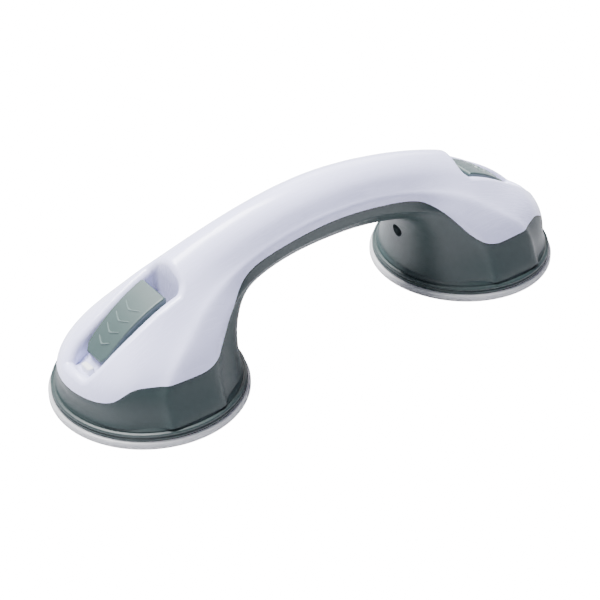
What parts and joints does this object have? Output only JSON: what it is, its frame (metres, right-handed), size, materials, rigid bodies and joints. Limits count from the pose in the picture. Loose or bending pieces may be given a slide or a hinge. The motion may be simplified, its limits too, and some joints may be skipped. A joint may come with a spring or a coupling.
{
  "type": "suction grab bar",
  "caption": "Arched hollow grab bar in two shells, held to a smooth wall by two round suction cups, each locked by a hinged cam lever sunk in the end.",
  "frame": {"origin": "midway between the two cups, in the plane of their sealing faces", "axes": "+X along the bar from the left cup to the right cup, +Z away from the surface that the cups hold, +Y across the bar"},
  "size_m": [0.3, 0.099, 0.0839],
  "materials": {
    "white_shell": "satin moulded ABS",
    "grey_shell": "fine satin moulded ABS",
    "lever_grey": "fine satin moulded ABS",
    "cup_rubber": "translucent soft rubber",
    "catch_plastic": "milky acetal",
    "nylon": "natural nylon",
    "steel": "plated steel"
  },
  "bodies": {
    "root": {"upper_shell": "white_shell", "lower_shell": "grey_shell", "crotch_screws": "steel", "left_pressure_plate": "grey_shell", "left_suction_cup": "cup_rubber", "left_cam_plate": "steel", "left_lever_catch": "catch_plastic", "left_plate_screws": "steel", "right_pressure_plate": "grey_shell", "right_suction_cup": "cup_rubber", "right_cam_plate": "steel", "right_lever_catch": "catch_plastic", "right_plate_screws": "steel"},
    "left_post": {"left_pull_stud": "steel", "left_hub_disc": "nylon", "left_lever_pin": "steel"},
    "left_lever_body": {"left_lever": "lever_grey"},
    "right_post": {"right_pull_stud": "steel", "right_hub_disc": "nylon", "right_lever_pin": "steel"},
    "right_lever_body": {"right_lever": "lever_grey"}
  },
  "joints": [
    {"name": "left_stud_slide", "type": "slide", "parent": "root", "child": "left_post", "axis": [0, 0, 1], "range_m": [-0.0035, 0], "deforming": ["left_suction_cup"]},
    {"name": "left_lever_hinge", "type": "hinge", "parent": "left_post", "child": "left_lever_body", "pos_m": [-0.1005, 0, 0.046], "axis": [0, 1, 0], "range_deg": [0, 90]},
    {"name": "right_stud_slide", "type": "slide", "parent": "root", "child": "right_post", "axis": [0, 0, 1], "range_m": [-0.0035, 0], "deforming": ["right_suction_cup"]},
    {"name": "right_lever_hinge", "type": "hinge", "parent": "right_post", "child": "right_lever_body", "pos_m": [0.1005, 0, 0.046], "axis": [0, -1, 0], "range_deg": [0, 90]}
  ],
  "couplings": [
    {"joint": "left_lever_hinge", "follows": "left_stud_slide", "rad_per_m": -448.8},
    {"joint": "right_lever_hinge", "follows": "right_stud_slide", "rad_per_m": -448.8}
  ]
}
